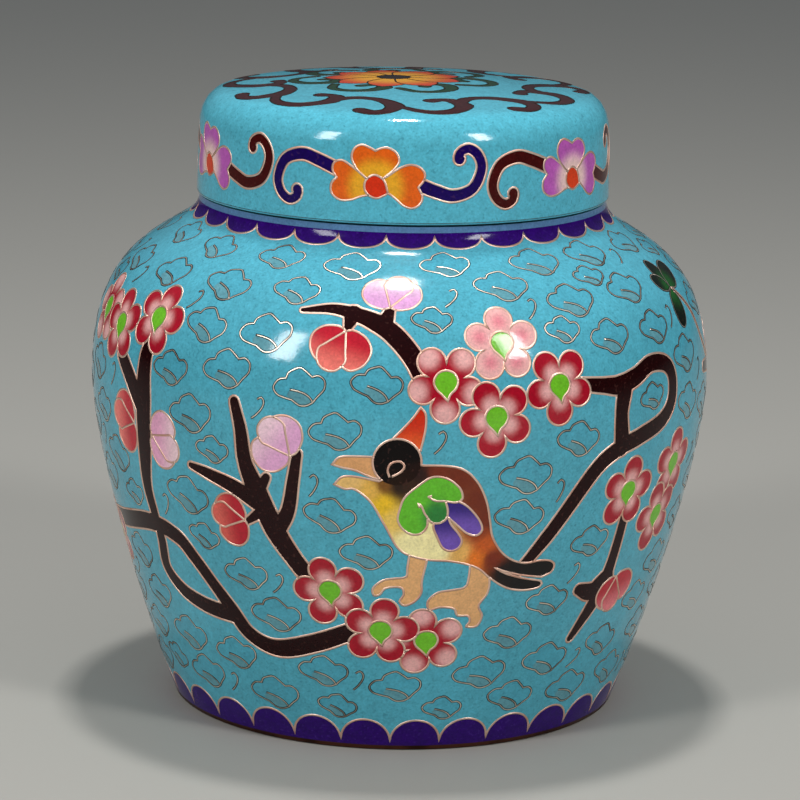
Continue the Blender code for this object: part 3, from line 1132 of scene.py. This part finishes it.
def enamel(name, grain, speck_colour, speck_share, gloss=0.3):
    """Fired enamel: each cell's own colour, mottled, with grains and specks in a polished, pitted face."""
    material, nodes, links, shader = node_material(name)
    where = nodes.new("ShaderNodeTexCoord").outputs["Object"]
    own = nodes.new("ShaderNodeAttribute")
    own.attribute_name = "enamel"
    broad = noise(nodes, links, where, BROAD_SCALE, 3.0)
    mottle = noise(nodes, links, where, MOTTLE_SCALE, 2.0)
    grains = noise(nodes, links, where, GRAIN_SCALE, 2.0, 0.6)
    soft = MOTTLE_SHARE * grain
    colour = own.outputs["Color"]
    for value, shades in ((broad, BROAD_SHADES), (mottle, (1 - soft, 1 + soft)),
                          (grains, (1 - grain, 1 + grain))):
        colour = scaled(nodes, links, colour, ramp(nodes, links, value, NOISE_SPAN, shades))
    specks = noise(nodes, links, where, SPECK_SCALE, 0.0)
    share = ramp(nodes, links, specks, SPECK_SPAN, (0.0, speck_share))
    speckled = mix_towards(nodes, links, share, speck_colour)
    links.new(colour, speckled.inputs["A"])
    links.new(speckled.outputs["Result"], shader.inputs["Base Color"])
    links.new(ramp(nodes, links, broad, NOISE_SPAN, ENAMEL_ROUGHNESS), shader.inputs["Roughness"])
    shader.inputs["IOR"].default_value = ENAMEL_IOR
    shader.inputs["Specular IOR Level"].default_value = gloss
    pits = nodes.new("ShaderNodeBump")
    pits.inputs["Strength"].default_value = PIT_STRENGTH
    pits.inputs["Distance"].default_value = PIT_DEPTH
    links.new(grains, pits.inputs["Height"])
    links.new(pits.outputs["Normal"], shader.inputs["Normal"])
    return material


def copper(name, colour, tarnish, roughness):
    """Polished copper with darker tarnish in places, which on the thin cloud wires partly stands for painted
    dark reflection.
    """
    material, nodes, links, shader = node_material(name)
    where = nodes.new("ShaderNodeTexCoord").outputs["Object"]
    patches = noise(nodes, links, where, TARNISH_SCALE, 4.0)
    share = ramp(nodes, links, patches, TARNISH_SPAN, (0.0, MOST_TARNISH))
    tarnished = mix_towards(nodes, links, share, tarnish)
    tarnished.inputs["A"].default_value = (*linear(colour), 1)
    links.new(tarnished.outputs["Result"], shader.inputs["Base Color"])
    rough = ramp(nodes, links, patches, NOISE_SPAN, (roughness, roughness + TARNISH_ROUGHNESS))
    links.new(rough, shader.inputs["Roughness"])
    shader.inputs["Metallic"].default_value = 1.0
    return material


# The pieces

# Bare metal shows below this height at the jar's foot, and this far down from its neck's rim
BARE_FOOT = 0.8
BARE_RIM = 0.6


def rest_kinds(rest, bare_below, bare_above):
    """What each step of a plain section is made of: bare metal at its rims, and enamel between them."""
    lower = np.minimum(rest[1:, 1], rest[:-1, 1])
    return ["metal" if height < bare_below or height > bare_above else "lining" for height in lower]


def jar_lines():
    """The jar's outline for the drawing, from the foot up, and the rest of its section in order."""
    line = section("jar")
    if line[0][0] > NEAR:
        line = np.r_[[(0, line[0][1])], line]
    if line[-1][0] > NEAR:
        line = np.r_[line, [(0, line[-1][1])]]
    summit = int(np.argmax(line[:, 1]))
    seat = next(i for i in range(summit, len(line)) if line[i + 1][0] > line[i][0] + 1) + 1
    foot = next(i for i in range(seat, len(line)) if line[i][1] <= BARE_FOOT + NEAR)
    rest = np.r_[line[foot:], line[:seat + 1]]
    kinds = rest_kinds(rest, line[-1][1] - NEAR, line[summit][1] - BARE_RIM)
    return line[seat:foot + 1][::-1], (rest, kinds)


def lid_lines():
    """The lid's outline for the drawing, from its rim up, and the rest of its section in order."""
    line = section("lid")
    rim = int(np.argmax(line[:, 0]))
    rest = line[rim:]
    return line[:rim + 1][::-1], (rest, rest_kinds(rest, rest[:, 1].min() + NEAR, math.inf))


def make_piece(node, drawing, rest, materials, wire_metals):
    flat, triangles, tops, wires = divide(drawing)
    piece = skin(node + "_skin", drawing, flat, triangles, tops, rest, materials)
    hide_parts(node)
    for width, edges in wires.items():
        kind, metals = wire_metals[width]
        strands = wire_mesh(node + kind, drawing.sheet, flat, edges, width, metals)


def main():
    materials = {
        "ground": enamel("turquoise_enamel", 0.14, (34, 104, 122), 0.30),
        "picture": enamel("picture_enamel", 0.12, (96, 30, 36), 0.10),
        "branch": enamel("branch_enamel", 0.20, (150, 96, 84), 0.08, 0.16),
        "indigo": enamel("indigo_enamel", 0.22, (96, 60, 170), 0.16, 0.16),
        "metal": copper("bare_copper", (92, 56, 44), (34, 20, 16), 0.36),
        "lining": enamel("lining_enamel", 0.12, (120, 190, 205), 0.2),
    }
    wire_metals = {
        MOTIF_WIRE: ("_wires", [copper("wire_copper", (252, 216, 196), (222, 166, 142), 0.42)]),
        # The thin cloud wires: pale copper whose darker patches are tarnish and, in part, painted dark
        # reflection; their flanks are oxidised and carry painted shade
        CLOUD_WIRE: ("_thin_wires", [copper("cloud_wire_copper", (246, 232, 214), (112, 104, 96), 0.36),
                                     copper("flank_oxide_and_shade", (30, 32, 34), (14, 16, 18), 0.50)]),
        # Painted shade: the lid's vine wires are dark copper, so that they stay dark instead of catching the
        # light
        VINE_WIRE: ("_vine_wires", [copper("shaded_vine_wire_copper", (70, 56, 48), (34, 30, 28), 0.40)]),
    }
    outline, rest = jar_lines()
    make_piece("jar", body_drawing(Sheet(outline)), rest, materials, wire_metals)
    outline, rest = lid_lines()
    make_piece("lid", lid_drawing(Sheet(outline)), rest, materials, wire_metals)


# The camera stands where the photo's did: an outline fit gave its distance, height angle, lens and roll
CAMERA_DISTANCE = 0.6863
CAMERA_ELEVATION = math.radians(12.4)
CAMERA_TARGET = Vector((0.0, 0.0, 0.0577))
CAMERA_LENS = 157.5
CAMERA_ROLL = math.radians(1.15)
CAMERA_SHIFT = 0.0016
SENSOR_WIDTH = 36.0

# The floor, the point that the lights face, and the sky, which gets brighter upwards
FLOOR_RADIUS = 3.0
FLOOR_COLOUR = (0.392, 0.378, 0.342)
LIT_POINT = Vector((0.0, -0.05, 0.08))
SKY_COLOUR = (0.86, 0.93, 1.0)
SKY_SPAN = (0.0, 0.9)
SKY_STRENGTHS = (0.04, 0.36)


def add_camera():
    data = bpy.data.cameras.new("camera")
    data.lens = CAMERA_LENS
    data.sensor_width = SENSOR_WIDTH
    data.shift_x = CAMERA_SHIFT
    camera = bpy.data.objects.new("camera", data)
    back = Vector((0.0, -math.cos(CAMERA_ELEVATION), math.sin(CAMERA_ELEVATION)))
    camera.matrix_world = (Matrix.Translation(CAMERA_TARGET + back * CAMERA_DISTANCE)
                           @ Matrix.Rotation(math.pi / 2 - CAMERA_ELEVATION, 4, "X")
                           @ Matrix.Rotation(CAMERA_ROLL, 4, "Z"))
    bpy.context.scene.collection.objects.link(camera)
    bpy.context.scene.camera = camera


def add_floor():
    mesh = bpy.data.meshes.new("floor")
    shape = bmesh.new()
    bmesh.ops.create_circle(shape, cap_ends=True, radius=FLOOR_RADIUS, segments=64)
    shape.to_mesh(mesh)
    shape.free()
    floor = bpy.data.objects.new("floor", mesh)
    bpy.context.scene.collection.objects.link(floor)
    material, nodes, links, shader = node_material("floor")
    shader.inputs["Base Color"].default_value = (*FLOOR_COLOUR, 1)
    shader.inputs["Roughness"].default_value = 0.55
    mesh.materials.append(material)


def add_light(name, azimuth, elevation, distance, size, power):
    """A soft rectangular light that faces the jar, at angles in degrees from the front."""
    data = bpy.data.lights.new(name, "AREA")
    data.shape = "RECTANGLE"
    data.size, data.size_y = size
    data.energy = power
    light = bpy.data.objects.new(name, data)
    a, e = math.radians(azimuth), math.radians(elevation)
    back = Vector((math.sin(a) * math.cos(e), -math.cos(a) * math.cos(e), math.sin(e)))
    light.location = LIT_POINT + back * distance
    light.rotation_euler = back.to_track_quat("Z", "Y").to_euler()
    bpy.context.scene.collection.objects.link(light)


def add_lights():
    add_light("left_light", -47, 29, 0.9, (0.145, 0.34), 3.8)
    add_light("middle_light", 180, 81, 0.9, (0.085, 0.10), 4.4)
    add_light("right_light", 48, 32, 0.9, (0.13, 0.30), 3.8)
    world = bpy.data.worlds.new("world")
    world.use_nodes = True
    nodes = world.node_tree.nodes
    links = world.node_tree.links
    background = nodes["Background"]
    background.inputs["Color"].default_value = (*SKY_COLOUR, 1)
    height = nodes.new("ShaderNodeSeparateXYZ")
    links.new(nodes.new("ShaderNodeTexCoord").outputs["Generated"], height.inputs["Vector"])
    strength = ramp(nodes, links, height.outputs["Z"], SKY_SPAN, SKY_STRENGTHS)
    links.new(strength, background.inputs["Strength"])
    bpy.context.scene.world = world
    bpy.context.scene.view_settings.view_transform = "Standard"


main()
add_camera()
add_floor()
add_lights()
